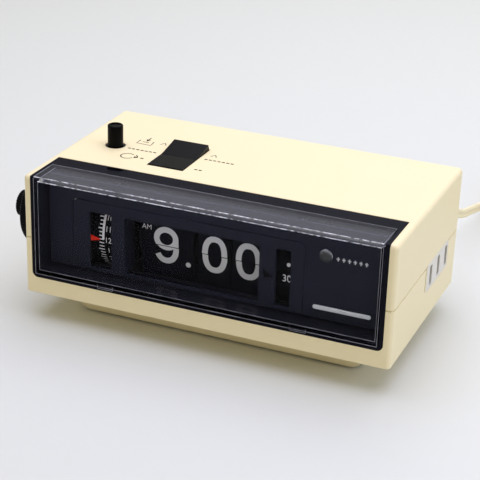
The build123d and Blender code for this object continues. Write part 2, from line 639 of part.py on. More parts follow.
with BuildPart() as plunger_bushing:
    post(PLUNGER, 70, TOP_Z - 0.6, 5.4, PLUNGER_R + FIT)
    post(PLUNGER, 62.5, 70.5, 6.4, PLUNGER_R + FIT)
    post(PLUNGER, 74, TOP_Z - WALL, 8.0, 5.4)
    post(PLUNGER, 61.0, 62.5, 6.4, 2.0 + FIT)
plunger_bushing.part.label = "plunger_bushing"
export_step(plunger_bushing.part, "parts/plunger_bushing.step")

with BuildPart() as set_plunger:
    post(PLUNGER, 70, PLUNGER_TOP_Z, PLUNGER_R)
    fillet(set_plunger.edges().group_by(Axis.Z)[-1], radius=0.7)
    post(PLUNGER, PLUNGER_TOP_Z - 0.5, PLUNGER_TOP_Z + 1, 2.9, mode=Mode.SUBTRACT)
    post(PLUNGER, 69, 85.1, 2.0 + FIT, mode=Mode.SUBTRACT)
set_plunger.part.label = "set_plunger"
export_step(set_plunger.part, "parts/set_plunger.step")

with BuildPart() as plunger_stem:
    post(PLUNGER, 58.6, 85.0, 2.0)
    post(PLUNGER, 68.6, 69.8, 3.6)
    post(PLUNGER, 57.4, 58.6, 3.0)
plunger_stem.part.label = "plunger_stem"
export_step(plunger_stem.part, "parts/plunger_stem.step")

with BuildPart() as plunger_spring:
    with BuildLine(Plane(origin=(CASE_X + PLUNGER[0], CASE_Y + PLUNGER[1], 63.0))) as coil_line:
        Helix(pitch=1.3, height=5.2, radius=3.1)
    with BuildSketch(Plane(origin=coil_line.line @ 0, z_dir=coil_line.line % 0)):
        Circle(0.3)
    sweep(is_frenet=True)
plunger_spring.part.label = "plunger_spring"
export_step(plunger_spring.part, "parts/plunger_spring.step")

with BuildPart() as alarm_rocker:
    front_top = (PIVOT_Y - 16.3, TOP_Z + 0.3)
    ridge = (PIVOT_Y, TOP_Z + 0.1)
    back_top = (PIVOT_Y + 16.1, TOP_Z + 3.2)
    base_z = TOP_Z - 8.0
    front_base = (PIVOT_Y - math.sqrt(ROCKER_FRONT_R**2 - (base_z - PIVOT_Z) ** 2), base_z)
    back_base = (PIVOT_Y + math.sqrt(ROCKER_BACK_R**2 - (base_z - PIVOT_Z) ** 2), base_z)
    with BuildSketch(across(ROCKER_X0)):
        with BuildLine():
            Polyline(front_top, ridge, back_top)
            ThreePointArc(back_top, (PIVOT_Y + ROCKER_BACK_R, PIVOT_Z), back_base)
            Line(back_base, front_base)
            ThreePointArc(front_base, (PIVOT_Y - ROCKER_FRONT_R, PIVOT_Z), front_top)
        make_face()
    extrude(amount=ROCKER_X1 - ROCKER_X0)
    disc(ROCKER_X0 - 2.6, ROCKER_X1 + 2.6, 1.25, (PIVOT_Y, PIVOT_Z))
alarm_rocker.part.label = "alarm_rocker"
export_step(alarm_rocker.part, "parts/alarm_rocker.step")

with BuildPart() as alarm_switch:
    block((-48, -32), (62.5, 75), (60.5, 68.4))
    for x0 in (-50.0, -32.0):
        block((x0, x0 + 2), (77.5, 80.5), (60.5, TOP_Z - WALL))
        block((x0, x0 + 2), (62.5, 80.5), (60.5, 68.4))
    block((-46, -34), (66, 69), (68.4, 68.9))
alarm_switch.part.label = "alarm_switch"
export_step(alarm_switch.part, "parts/alarm_switch.step")

# --- Buzzer and wiring board ----------------------------------------------------------------------

BUZZ_X, BUZZ_Y, CASE_FLOOR = -50.0, 88.0, BASE_Z + WALL
with BuildPart() as buzzer_frame:
    block((BUZZ_X - 9, BUZZ_X + 9), (BUZZ_Y - 9, BUZZ_Y + 14), (CASE_FLOOR, CASE_FLOOR + 1.5))
    block((BUZZ_X - 9, BUZZ_X + 9), (BUZZ_Y + 12, BUZZ_Y + 14), (CASE_FLOOR, CASE_FLOOR + 20))
    post((BUZZ_X, BUZZ_Y), CASE_FLOOR, CASE_FLOOR + 17, 3)
buzzer_frame.part.label = "buzzer_frame"
export_step(buzzer_frame.part, "parts/buzzer_frame.step")

with BuildPart() as buzzer_coil:
    post((BUZZ_X, BUZZ_Y), CASE_FLOOR + 1.5, CASE_FLOOR + 16.5, 7, 3)
    for z in (CASE_FLOOR + 1.5, CASE_FLOOR + 15.3):
        post((BUZZ_X, BUZZ_Y), z, z + 1.2, 8.5, 3)
buzzer_coil.part.label = "buzzer_coil"
export_step(buzzer_coil.part, "parts/buzzer_coil.step")

with BuildPart() as buzzer_reed:
    block((BUZZ_X - 6, BUZZ_X + 6), (BUZZ_Y - 9, BUZZ_Y + 11.4), (CASE_FLOOR + 18.2, CASE_FLOOR + 19.2))
buzzer_reed.part.label = "buzzer_reed"
export_step(buzzer_reed.part, "parts/buzzer_reed.step")

with BuildPart() as terminal_board:
    block((62, 84), (88, 104), (CASE_FLOOR, CASE_FLOOR + 2))
    for x in (66, 73, 80):
        block((x - 2, x + 2), (92, 100), (CASE_FLOOR + 2, CASE_FLOOR + 7))
terminal_board.part.label = "terminal_board"
export_step(terminal_board.part, "parts/terminal_board.step")

# --- Mains lead -----------------------------------------------------------------------------------

with BuildPart() as strain_relief:
    block((CORD_X - 6, CORD_X + 6), (RELIEF_Y0, RELIEF_Y0 + 1.4), (CORD_Z - 6, SEAM_Z - 0.1))
    with BuildSketch(facing(RELIEF_Y0)):
        with Locations((CORD_X, CORD_Z)):
            Rectangle(8.8, 8.8)
    extrude(amount=-7)
    with BuildSketch(facing(RELIEF_Y0 + 6)):
        with Locations((CORD_X, CORD_Z)):
            Circle(4.3)
    with BuildSketch(facing(RELIEF_Y1)):
        with Locations((CORD_X, CORD_Z)):
            Circle(3.3)
    loft()
strain_relief.part.label = "strain_relief"
export_step(strain_relief.part, "parts/strain_relief.step")

# The lead runs back from the strain relief, sinks to the surface and goes into the outer turn of the coil. It
# leaves the coil at the far side, where its last stretch goes into the plug.
TURN_R = 36.3
COIL_X, COIL_Y, COIL_OUT_R, COIL_IN_R, COIL_H = 85.0 + TURN_R, 284.0, 37.7, 24.5, 11.6
PLUG_X, PLUG_Y, PLUG_W, PLUG_L, PLUG_H = COIL_X + TURN_R, 250.0, 22.0, 24.0, 12.0
ROUTE = [
    (86.0, 133.0, 41.0),
    (86.0, 149.0, 41.0),
    (85.8, 165.0, 32.4),
    (85.4, 184.0, 24.4),
    (85.1, 206.0, 18.6),
    (85.0, 230.0, 12.0),
    (85.0, 250.0, 6.2),
    (85.0, 268.0, 2.85),
    (85.0, 284.0, 2.85),
]
TAIL = [
    (PLUG_X, 284.0, 8.6),
    (PLUG_X + 0.3, 267.0, 6.6),
    (PLUG_X, 250.0, 6.0),
]
for name, route in [("cord_tube", ROUTE), ("cord_tail", TAIL)]:
    with BuildPart() as cord:
        bends = []
        for before, at, after in zip(route, route[1:], route[2:]):
            arriving, leaving = Vector(*at) - Vector(*before), Vector(*after) - Vector(*at)
            turn = math.radians(arriving.get_angle(leaving))
            bends.append(0.45 * min(arriving.length, leaving.length) / math.tan(turn / 2))
        with BuildLine(FLOOR) as cord_line:
            FilletPolyline(*route, radius=bends)
        with BuildSketch(Plane(origin=cord_line.line @ 0, z_dir=cord_line.line % 0)):
            Circle(CORD_D / 2)
        sweep()
    cord.part.label = name
    export_step(cord.part, f"parts/{name}.step")
    run = cord_line.wires()[0].length
    share = cord.part.volume / (math.pi * (CORD_D / 2) ** 2 * run)
    print(name, "radii", [round(r) for r in bends], "length", round(run), "volume share", round(share, 3))

with BuildPart() as cord_coil:
    post((COIL_X, COIL_Y), 0, COIL_H, COIL_OUT_R, COIL_IN_R)
cord_coil.part.label = "cord_coil"
export_step(cord_coil.part, "parts/cord_coil.step")

with BuildPart() as plug_body:
    block((PLUG_X - PLUG_W / 2, PLUG_X + PLUG_W / 2), (PLUG_Y - PLUG_L, PLUG_Y), (0, PLUG_H))
    fillet(plug_body.edges().filter_by(Axis.Y), radius=3)
plug_body.part.label = "plug_body"
export_step(plug_body.part, "parts/plug_body.step")

BLADE_PITCH, BLADE_W, BLADE_L, BLADE_T = 12.7, 6.2, 17.0, 1.5
with BuildPart() as plug_blades:
    for x in (PLUG_X - BLADE_PITCH / 2, PLUG_X + BLADE_PITCH / 2):
        blade_y = (PLUG_Y - PLUG_L - BLADE_L, PLUG_Y - PLUG_L)
        blade_z = ((PLUG_H - BLADE_W) / 2, (PLUG_H + BLADE_W) / 2)
        block((x - BLADE_T / 2, x + BLADE_T / 2), blade_y, blade_z)
plug_blades.part.label = "plug_blades"
export_step(plug_blades.part, "parts/plug_blades.step")
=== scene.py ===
import math

import bmesh
import bpy
from mathutils import Matrix, Vector


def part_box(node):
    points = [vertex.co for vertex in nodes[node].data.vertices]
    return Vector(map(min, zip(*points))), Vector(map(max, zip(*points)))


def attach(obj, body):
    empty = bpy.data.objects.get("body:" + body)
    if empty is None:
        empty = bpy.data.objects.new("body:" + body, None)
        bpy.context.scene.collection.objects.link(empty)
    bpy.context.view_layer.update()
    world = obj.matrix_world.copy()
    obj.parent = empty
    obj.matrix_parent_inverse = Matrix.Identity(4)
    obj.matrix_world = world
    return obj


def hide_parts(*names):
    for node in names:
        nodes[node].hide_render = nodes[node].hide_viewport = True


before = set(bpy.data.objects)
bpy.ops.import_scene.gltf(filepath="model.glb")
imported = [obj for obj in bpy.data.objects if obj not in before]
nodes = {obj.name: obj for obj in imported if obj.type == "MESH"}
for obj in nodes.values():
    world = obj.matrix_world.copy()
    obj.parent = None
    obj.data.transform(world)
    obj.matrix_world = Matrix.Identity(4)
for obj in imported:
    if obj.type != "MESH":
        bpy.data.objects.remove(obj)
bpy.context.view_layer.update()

# A mains flip-card alarm clock. Sizes below are in millimetres, in case coordinates: X from the case's middle
# plane, Y back from the front of the case, Z up from the surface that it stands on.
MM = 0.001
CASE_X, CASE_Y = 7.4, -55.75
TOP_Z = 80.6
LEAF_FACE_Y, LEAF_BACK_Y, STANDING_FACE_Y = 24.6, 25.0, 25.1
SPLIT_Z = 44.7
AXIS_Y, AXIS_Z = 37.537, 47.3
BAND_R = 23.2
CORD_W, CORD_T = 5.6, 2.8


def at(x, y, z):
    """A point in the row frame, in metres, from case coordinates in millimetres."""
    return Vector(((CASE_X + x) * MM, (CASE_Y + y) * MM, z * MM))


def show(name, data):
    """Puts a mesh, curve, light or camera into the scene as an object."""
    item = bpy.data.objects.new(name, data)
    bpy.context.scene.collection.objects.link(item)
    return item


# --- Camera and light -----------------------------------------------------------------------------

AZIMUTH, ELEVATION, ROLL = (math.radians(degrees) for degrees in (22.23, 23.96, 1.78))
AIM = at(20.5, 0, 68.15)
CAMERA_DISTANCE = 0.73539
CAMERA_LENS = 113.77

WORLD_COLOUR, WORLD_STRENGTH = (1.0, 0.95, 0.85, 1), 0.47

# Each light's name, place, aim, size, power and colour, in metres and watts.
LIGHTS = [
    ("overhead", (0.05, 0.10, 1.05), (0, 0, 0), 1.4, 16.4, (0.73, 0.74, 0.98)),
    ("backdrop_fill", (0, 0.95, 0.8), (0, 1.05, 0), 1.0, 2.2, (0.93, 0.97, 1.0)),
    ("right_fill", (1.2, -0.05, 0.55), (0, 0, 0.04), 0.7, 4.6, (0.52, 0.63, 0.95)),
]

# The paper sweep's section, in metres: a flat floor, a quarter bend and an upright back.
SWEEP_FRONT_Y, SWEEP_BEND_Y, SWEEP_BEND_R, SWEEP_TOP_Z, SWEEP_HALF_X = -2.4, 0.9, 0.7, 2.4, 2.6
SWEEP_STEPS = 10


def make_camera():
    """The photograph's view: from the right of the front, and above."""
    back = Vector((
        math.sin(AZIMUTH) * math.cos(ELEVATION),
        -math.cos(AZIMUTH) * math.cos(ELEVATION),
        math.sin(ELEVATION),
    ))
    level_right = Vector((math.cos(AZIMUTH), math.sin(AZIMUTH), 0))
    level_up = back.cross(level_right)
    right = math.cos(ROLL) * level_right + math.sin(ROLL) * level_up
    up = math.cos(ROLL) * level_up - math.sin(ROLL) * level_right
    camera = show("camera", bpy.data.cameras.new("camera"))
    camera.data.lens = CAMERA_LENS
    camera.data.clip_start = 0.05
    turn = Matrix((right, up, back)).transposed().to_4x4()
    camera.matrix_world = Matrix.Translation(AIM + back * CAMERA_DISTANCE) @ turn
    bpy.context.scene.camera = camera
    bpy.context.scene.view_settings.view_transform = "Standard"


def area_light(name, place, aim, size, power, colour):
    """A square soft light that faces the point aim."""
    light = show(name, bpy.data.lights.new(name, "AREA"))
    light.data.size = size
    light.data.energy = power
    light.data.color = colour
    light.location = place
    light.rotation_euler = (Vector(aim) - Vector(place)).to_track_quat("-Z", "Y").to_euler()


def make_sweep():
    """Pale paper, from the floor up behind the clock in one bend."""
    profile = [(SWEEP_FRONT_Y, 0.0), (SWEEP_BEND_Y, 0.0)]
    for k in range(1, SWEEP_STEPS + 1):
        turn = math.radians(90 * k / SWEEP_STEPS)
        rise = SWEEP_BEND_R - SWEEP_BEND_R * math.cos(turn)
        profile.append((SWEEP_BEND_Y + SWEEP_BEND_R * math.sin(turn), rise))
    profile.append((SWEEP_BEND_Y + SWEEP_BEND_R, SWEEP_TOP_Z))

    mesh = bpy.data.meshes.new("sweep")
    shape = bmesh.new()
    left, right = ([shape.verts.new((x, y, z)) for y, z in profile] for x in (-SWEEP_HALF_X, SWEEP_HALF_X))
    for k in range(len(profile) - 1):
        shape.faces.new((left[k], right[k], right[k + 1], left[k + 1]))
    shape.to_mesh(mesh)
    shape.free()
    mesh.shade_smooth()
    paper = Surface("paper", (0.675, 0.68, 0.605), roughness=0.55, mottle=0.01, mottle_size=120, grain=0.0)
    mesh.materials.append(paper.material)
    show("sweep", mesh)


def make_studio():
    """A pale sweep under a large soft light from above, with soft fills behind and to the right."""
    world = bpy.data.worlds.new("studio")
    bpy.context.scene.world = world
    world.use_nodes = True
    backdrop = world.node_tree.nodes["Background"]
    backdrop.inputs["Color"].default_value = WORLD_COLOUR
    backdrop.inputs["Strength"].default_value = WORLD_STRENGTH
    for light in LIGHTS:
        area_light(*light)
    make_sweep()


# --- Materials ------------------------------------------------------------------------------------

class Surface:
    """A procedural material: a colour with slow mottling, fine grain in its height, and rounded edges.

    mottle is how far the colour strays, as a share of itself, and sharp how suddenly it does. grain is in
    millimetres, and edge is the radius of the rounding, in metres.
    """

    def __init__(self, name, colour, roughness=0.4, metallic=0.0, mottle=0.05, mottle_size=60.0, grain=0.02,
                 grain_size=1400.0, stretch=(1, 1, 1), edge=0.0002, rough_spread=0.08, shine=0.5, sharp=0.0):
        self.material = bpy.data.materials.new(name)
        self.material.use_nodes = True
        self.tree = self.material.node_tree
        self.shader = self.tree.nodes["Principled BSDF"]
        self.shader.inputs["Metallic"].default_value = metallic
        self.shader.inputs["Specular IOR Level"].default_value = shine
        self.place = self.add("ShaderNodeTexCoord").outputs["Object"]

        patches = self.add("ShaderNodeTexNoise", Vector=self.place, Scale=mottle_size, Detail=4.0)
        share = self.rescale(patches.outputs["Fac"], 0.5 * sharp, 1 - 0.5 * sharp)
        dark = (*[c * (1 - mottle) for c in colour], 1)
        light = (*[min(1, c * (1 + mottle)) for c in colour], 1)
        self.colour = self.mix(share, dark, light)
        self.feed(self.shader.inputs["Base Color"], self.colour)

        stretched = self.add("ShaderNodeMapping", Vector=self.place, Scale=stretch).outputs["Vector"]
        noise = self.add("ShaderNodeTexNoise", Vector=stretched, Scale=grain_size, Detail=3.0)
        height = noise.outputs["Fac"]
        lowest, highest = max(0.02, roughness - rough_spread), min(1, roughness + rough_spread)
        self.feed(self.shader.inputs["Roughness"], self.rescale(height, to_min=lowest, to_max=highest))
        rounded = self.add("ShaderNodeBevel", Radius=edge)
        rounded.samples = 4
        bump = self.add("ShaderNodeBump", Strength=0.35, Distance=grain * MM, Height=height,
                        Normal=rounded.outputs["Normal"])
        self.feed(self.shader.inputs["Normal"], bump.outputs["Normal"])

    def feed(self, socket, value):
        """Links a socket to another node's output, or sets it to a plain value."""
        if isinstance(value, bpy.types.NodeSocket):
            self.tree.links.new(value, socket)
        else:
            socket.default_value = value

    def add(self, kind, **values):
        """A new node, with its named inputs fed."""
        node = self.tree.nodes.new(kind)
        for name, value in values.items():
            self.feed(node.inputs[name], value)
        return node

    def combine(self, node, *values):
        """Feeds a node's inputs in order, and returns its first output."""
        for socket, value in zip(node.inputs, values):
            self.feed(socket, value)
        return node.outputs[0]

    def calculate(self, operation, *values, kind="ShaderNodeMath"):
        """The result of a maths node."""
        node = self.add(kind)
        node.operation = operation
        return self.combine(node, *values)

    def rescale(self, value, from_min=0.0, from_max=1.0, to_min=0.0, to_max=1.0):
        """A value carried from one range into another."""
        node = self.add("ShaderNodeMapRange", Value=value)
        limits = {"From Min": from_min, "From Max": from_max, "To Min": to_min, "To Max": to_max}
        for name, limit in limits.items():
            node.inputs[name].default_value = limit
        return node.outputs["Result"]

    def mix(self, share, first, second):
        """A blend of two colours, from the first at a share of 0 to the second at 1."""
        node = self.add("ShaderNodeMix")
        node.data_type = "RGBA"
        for name, value in (("Factor", share), ("A", first), ("B", second)):
            self.feed(node.inputs[name], value)
        return node.outputs["Result"]


# The hollow of the case behind the display: its middle and its half sizes, and the black of the painted shade
# inside it.
HOLLOW_MIDDLE, HOLLOW_HALF = (0, 56.0, 48.0), (98.2, 54.5, 30.6)
HOLLOW_SHADE_BLACK = (0.004, 0.004, 0.005, 1)

# Heights in metres between which the dust haze on clear plastic grows from nothing to full.
HAZE_FROM_Z, HAZE_FULL_Z = 0.050, 0.060


def darken_hollow(surface):
    """Paints the ivory in the case's hollow black, as painted shade, so that the drums turn in front of a
    dark space.
    """
    middle, half = at(*HOLLOW_MIDDLE), Vector(HOLLOW_HALF) * MM
    offset = surface.calculate("SUBTRACT", surface.place, middle, kind="ShaderNodeVectorMath")
    share = surface.calculate("DIVIDE", offset, half, kind="ShaderNodeVectorMath")
    share = surface.calculate("ABSOLUTE", share, kind="ShaderNodeVectorMath")
    axes = surface.add("ShaderNodeSeparateXYZ", Vector=share).outputs
    furthest = surface.calculate("MAXIMUM", surface.calculate("MAXIMUM", axes["X"], axes["Y"]), axes["Z"])
    inside = surface.calculate("LESS_THAN", furthest, 1.0)
    # Painted shade: inside the hollow the ivory is drawn black, where the real plastic only lies in shade.
    surface.feed(surface.shader.inputs["Base Color"], surface.mix(inside, surface.colour, HOLLOW_SHADE_BLACK))


def clear_plastic(name, tint=(0.95, 0.96, 0.97), roughness=0.03, ior=1.2, haze=0.0):
    """Clear acrylic, with a haze of dust on the faces that look up.

    Shadow and bounce rays go straight through, so that what is behind stays lit.
    """
    surface = Surface(name, tint, roughness=roughness, mottle=0.01, grain=0.004, rough_spread=0.01)
    surface.shader.inputs["Transmission Weight"].default_value = 1.0
    surface.shader.inputs["IOR"].default_value = ior

    geometry = surface.add("ShaderNodeNewGeometry").outputs
    facing_up = surface.add("ShaderNodeSeparateXYZ", Vector=geometry["Normal"]).outputs["Z"]
    height = surface.add("ShaderNodeSeparateXYZ", Vector=geometry["Position"]).outputs["Z"]
    layer = surface.rescale(height, HAZE_FROM_Z, HAZE_FULL_Z, to_max=haze)
    amount = surface.calculate("MULTIPLY", facing_up, layer)
    amount.node.use_clamp = True
    dust = surface.add("ShaderNodeBsdfDiffuse", Color=(0.8, 0.8, 0.82, 1)).outputs["BSDF"]
    glass = surface.shader.outputs["BSDF"]
    dusty = surface.combine(surface.add("ShaderNodeMixShader"), amount, glass, dust)

    ray = surface.add("ShaderNodeLightPath").outputs
    indirect = surface.calculate("MAXIMUM", ray["Is Shadow Ray"], ray["Is Diffuse Ray"])
    straight = surface.add("ShaderNodeBsdfTransparent", Color=(0.98, 0.98, 0.98, 1)).outputs["BSDF"]
    through = surface.combine(surface.add("ShaderNodeMixShader"), indirect, dusty, straight)
    surface.feed(surface.tree.nodes["Material Output"].inputs["Surface"], through)
    return surface.material


PLAIN_SURFACES = {
    "ivory": dict(colour=(0.88, 0.76, 0.46), roughness=0.40, mottle=0.012, mottle_size=25, grain=0.010,
                  grain_size=2200, edge=0.0004, shine=0.3),
    "bezel": dict(colour=(0.008, 0.008, 0.012), roughness=0.38, mottle=0.15, grain=0.012, shine=0.03),
    "panel": dict(colour=(0.014, 0.015, 0.026), roughness=0.52, mottle=0.12, grain=0.03, grain_size=2600,
                  shine=0.06),
    "leaf": dict(colour=(0.005, 0.005, 0.009), roughness=0.5, mottle=0.2, grain=0.01, shine=0.03),
    "drum": dict(colour=(0.002, 0.002, 0.003), roughness=0.55, mottle=0.2, grain=0.02, shine=0.03),
    "frame": dict(colour=(0.010, 0.010, 0.012), roughness=0.5, mottle=0.2, grain=0.03, shine=0.1),
    "hub": dict(colour=(0.02, 0.02, 0.022), roughness=0.45, mottle=0.2, grain=0.03, shine=0.2),
    "pointer": dict(colour=(0.75, 0.020, 0.006), roughness=0.4, mottle=0.08, shine=0.1),
    "numeral": dict(colour=(0.80, 0.80, 0.83), roughness=0.55, mottle=0.03, grain=0.01, edge=0.00001,
                    shine=0.1),
    "print_white": dict(colour=(0.68, 0.68, 0.70), roughness=0.5, mottle=0.05, edge=0.00001, shine=0.1),
    "print_brown": dict(colour=(0.02, 0.016, 0.012), roughness=0.5, mottle=0.2, edge=0.00001, shine=0.1),
    "badge": dict(colour=(0.72, 0.72, 0.72), roughness=0.3, metallic=0.7, mottle=0.05, stretch=(0.05, 1, 1),
                  grain=0.02),
    "grille": dict(colour=(0.74, 0.70, 0.60), roughness=0.42, mottle=0.03, grain=0.02),
    "black_gloss": dict(colour=(0.002, 0.002, 0.002), roughness=0.30, mottle=0.2, grain=0.01, edge=0.0003,
                        shine=0.06),
    "black_satin": dict(colour=(0.0015, 0.0015, 0.003), roughness=0.22, mottle=0.2, grain=0.01, edge=0.0003,
                        shine=0.08),
    # Painted highlights: light grey with sharp bright dashes, for the light caught along the lens edges.
    "painted_glint": dict(colour=(0.50, 0.50, 0.52), roughness=0.25, mottle=0.85, mottle_size=420, sharp=0.75,
                  grain=0.004),
    "faint_painted_glint": dict(colour=(0.20, 0.20, 0.22), roughness=0.3, mottle=0.5, mottle_size=160, sharp=0.6,
                       grain=0.004),
    "foot": dict(colour=(0.02, 0.02, 0.02), roughness=0.8, mottle=0.3, grain=0.08),
    "steel": dict(colour=(0.55, 0.55, 0.56), roughness=0.34, metallic=1.0, mottle=0.06, stretch=(1, 0.04, 1),
                  grain=0.03),
    "bright": dict(colour=(0.72, 0.72, 0.73), roughness=0.16, metallic=1.0, mottle=0.04, grain=0.004),
    "brass": dict(colour=(0.78, 0.62, 0.30), roughness=0.24, metallic=1.0, mottle=0.08, stretch=(1, 0.05, 1),
                  grain=0.02),
    "copper": dict(colour=(0.72, 0.30, 0.12), roughness=0.3, metallic=0.8, mottle=0.15, grain_size=3000,
                   stretch=(8, 1, 8), grain=0.12),
    "gear": dict(colour=(0.74, 0.72, 0.66), roughness=0.45, mottle=0.04, grain=0.02),
    "motor": dict(colour=(0.30, 0.31, 0.33), roughness=0.38, metallic=0.6, mottle=0.1, grain=0.03),
    "magnet": dict(colour=(0.05, 0.05, 0.055), roughness=0.6, metallic=0.4, mottle=0.2, grain=0.08),
    "board": dict(colour=(0.22, 0.11, 0.035), roughness=0.5, mottle=0.15, grain=0.05, stretch=(0.2, 1, 1)),
    "vinyl": dict(colour=(0.86, 0.75, 0.46), roughness=0.42, mottle=0.03, grain=0.02, grain_size=900),
}

NODE_MATERIALS = {
    "ivory": ["lower_case", "upper_case"],
    "bezel": ["front_bezel"],
    "panel": ["face_panel", "clock_mask"],
    "leaf": ["hour_leaf_pack", "tens_leaf_pack", "units_leaf_pack", "hour_front_leaf", "tens_front_leaf",
             "units_front_leaf"],
    "drum": ["alarm_drum", "seconds_drum", "hour_drum", "tens_drum", "units_drum", "seconds_index"],
    "hub": ["lamp_holder", "plunger_bushing"],
    "pointer": ["alarm_pointer"],
    "badge": ["badge"],
    "grille": ["side_grille"],
    "black_gloss": ["time_knob", "alarm_knob", "set_plunger"],
    "black_satin": ["alarm_rocker"],
    "foot": ["rubber_feet"],
    "frame": ["left_side_plate", "right_side_plate"],
    "steel": ["base_plate", "case_screws", "buzzer_frame", "buzzer_reed"],
    "bright": ["tie_bars", "leaf_catch", "main_shaft", "alarm_knob_shaft", "plunger_stem", "plunger_spring"],
    "brass": ["plug_blades"],
    "gear": ["time_gear", "time_pinion", "alarm_gear", "seconds_gear", "motor_pinion"],
    "motor": ["motor_cover", "motor_can"],
    "magnet": ["motor_rotor"],
    "copper": ["motor_coil", "buzzer_coil"],
    "board": ["alarm_switch", "terminal_board"],
    "vinyl": ["strain_relief", "plug_body"],
    "lens": ["lens"],
    "lamp": ["set_lamp_lens"],
    "bulb": ["set_lamp_bulb"],
}
CREASE = math.radians(35)


def make_materials():
    """All the materials, by name."""
    surfaces = {name: Surface(name, **values) for name, values in PLAIN_SURFACES.items()}
    # Painted shade inside the case's hollow, on the ivory.
    darken_hollow(surfaces["ivory"])
    made = {name: surface.material for name, surface in surfaces.items()}
    made["lens"] = clear_plastic("lens_clear", ior=1.10, haze=0.045)
    made["lamp"] = clear_plastic("lamp_smoke", tint=(0.55, 0.55, 0.58), roughness=0.08, ior=1.45, haze=0.25)
    made["bulb"] = clear_plastic("bulb_glass", tint=(0.97, 0.96, 0.92))
    return made


def finish_nodes():
    """Gives every CAD node its material, and smooth shading with crisp edges."""
    for name, members in NODE_MATERIALS.items():
        for node in members:
            mesh = nodes[node].data
            mesh.materials.clear()
            mesh.materials.append(materials[name])
            mesh.shade_smooth()
            mesh.set_sharp_from_angle(angle=CREASE)


# --- Flat prints ----------------------------------------------------------------------------------

# How far ink stands off leaves, drums and the top, which keeps it clear of the face below it.
LEAF_INK, DRUM_INK, TOP_INK = 0.02, 0.03, 0.03


def arc(x, z, rx, rz, start, end, steps, square=2.0):
    """Points on an arc of an oval, in degrees; square over 2 makes it squarer."""
    points = []
    for k in range(steps + 1):
        turn = math.radians(start + (end - start) * k / steps)
        c, s = math.cos(turn), math.sin(turn)
        points.append((
            x + rx * math.copysign(abs(c) ** (2 / square), c),
            z + rz * math.copysign(abs(s) ** (2 / square), s),
        ))
    return points


def ring(x, z, rx, rz, square=2.0):
    """Points all round an oval, 15 degrees apart."""
    return arc(x, z, rx, rz, 0, 345, 23, square)


class Print:
    """Ink drawn as polygons in (across, up) millimetres, then laid on a plane or round a drum."""

    def __init__(self, faces=()):
        self.faces = list(faces)

    def polygon(self, *corners):
        self.faces.append([tuple(c) for c in corners])

    def bar(self, x0, z0, x1, z1):
        self.polygon((x0, z0), (x1, z0), (x1, z1), (x0, z1))

    def disc(self, x, z, radius):
        self.polygon(*ring(x, z, radius, radius))

    def stroke(self, path, width, closed=False):
        """A line of even width along a path of (across, up) points, as a strip of four-sided faces."""
        path = [Vector(p) for p in path]
        count = len(path)
        sides = []
        for k, point in enumerate(path):
            before = path[(k - 1) % count] if closed or k else point
            after = path[(k + 1) % count] if closed or k < count - 1 else point
            along = (after - before).normalized()
            out = Vector((along.y, -along.x)) * (width / 2)
            sides.append((point + out, point - out))
        for k in range(count if closed else count - 1):
            here, there = sides[k], sides[(k + 1) % count]
            self.polygon(here[0], there[0], there[1], here[1])

    def clipped(self, low=-math.inf, high=math.inf):
        """What lies between two heights, as another print."""
        part = Print()
        for face in self.faces:
            for limit, sign in ((low, 1), (high, -1)):
                kept = []
                for a, b in zip(face, face[1:] + face[:1]):
                    inside_a, inside_b = sign * (a[1] - limit) >= 0, sign * (b[1] - limit) >= 0
                    if inside_a:
                        kept.append(a)
                    if inside_a != inside_b:
                        share = (limit - a[1]) / (b[1] - a[1])
                        kept.append((a[0] + share * (b[0] - a[0]), a[1] + share * (b[1] - a[1])))
                face = kept
            if len(face) >= 3:
                part.faces.append(face)
        return part

    def sliced(self, step=0.8):
        """The same ink cut into low strips, so that it can bend round a drum."""
        strips = Print()
        for face in self.faces:
            low, high = min(z for _, z in face), max(z for _, z in face)
            while low < high - 1e-6:
                strips.faces += Print([face]).clipped(low, low + step).faces
                low += step
        return strips

    def lay(self, name, place, material, body):
        """Makes the piece: place turns each (across, up) into a point in the row frame."""
        mesh = bpy.data.meshes.new(name)
        shape = bmesh.new()
        for face in self.faces:
            shape.faces.new([shape.verts.new(place(*corner)) for corner in face])
        bmesh.ops.remove_doubles(shape, verts=shape.verts, dist=1e-6)
        shape.to_mesh(mesh)
        shape.free()
        mesh.materials.append(materials[material])
        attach(show(name, mesh), body)


def upright(y):
    """On an upright plane at depth y, seen from the front."""
    return lambda x, z: at(x, y, z)


def on_top(x, y):
    """On the top of the case, where up is towards the back."""
    return at(x, y, TOP_Z + TOP_INK)


def flipped_back(x, z):
    """On the back of a front leaf, where it shows once the leaf has fallen."""
    return at(x, LEAF_BACK_Y + LEAF_INK, 2 * SPLIT_Z - z)


def round_drum(x, z):
    """Round a drum, with heights measured along its face from the level of its axis."""
    turn = (z - AXIS_Z) / (BAND_R + DRUM_INK)
    reach = BAND_R + DRUM_INK
    return at(x, AXIS_Y - reach * math.cos(turn), AXIS_Z + reach * math.sin(turn))


def letters(text, size, x, z, stretch=1.0):
    """A print of plain characters from the built-in face: x is their middle, z their foot."""
    curve = bpy.data.curves.new("letters", "FONT")
    curve.body = text
    curve.size = size
    curve.align_x = "CENTER"
    maker = show("letters", curve)
    bpy.context.view_layer.update()
    mesh = bpy.data.meshes.new_from_object(maker)
    ink = Print()
    for polygon in mesh.polygons:
        corners = [mesh.vertices[v].co for v in polygon.vertices]
        ink.polygon(*[(x + stretch * c.x, z + c.y) for c in corners])
    bpy.data.objects.remove(maker)
    bpy.data.curves.remove(curve)
    bpy.data.meshes.remove(mesh)
    return ink


# --- Leaf numerals --------------------------------------------------------------------------------

DIGIT_H, DIGIT_W, STROKE = 20.6, 14.0, 3.15
DIGIT_FOOT_Z = 34.9
LEAF_SPLIT_GAP = 0.32
HOUR_DOT = (-18.0, 36.4, 1.4)
MORNING_MARK = ("AM", 3.9, -41.5, 52.5)


